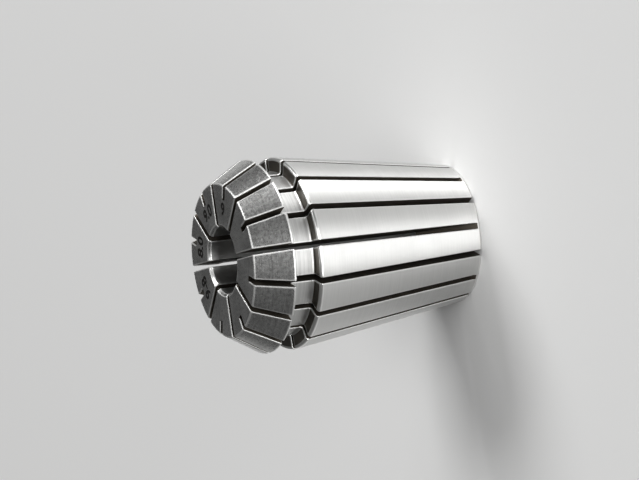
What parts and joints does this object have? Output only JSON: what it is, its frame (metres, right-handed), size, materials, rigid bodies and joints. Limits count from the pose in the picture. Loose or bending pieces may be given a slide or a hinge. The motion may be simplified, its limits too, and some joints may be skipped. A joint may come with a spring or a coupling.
{
  "type": "er collet",
  "caption": "Slotted spring collet: one steel sleeve with a long taper, a nut groove and a nose cone, which closes on a round shank in its bore.",
  "frame": {"origin": "centre of the rear face, the small end, which the collet stands on", "axes": "+Z along the bore to the nose; a slit cut from the nose opens along +X, and the slits cut from the rear lie halfway between"},
  "size_m": [0.026, 0.026, 0.034],
  "materials": {
    "ground_steel": "hardened spring steel, taper ground bright, nose face and nose cone satin"
  },
  "bodies": {
    "root": {"collet": "ground_steel"}
  },
  "joints": []
}
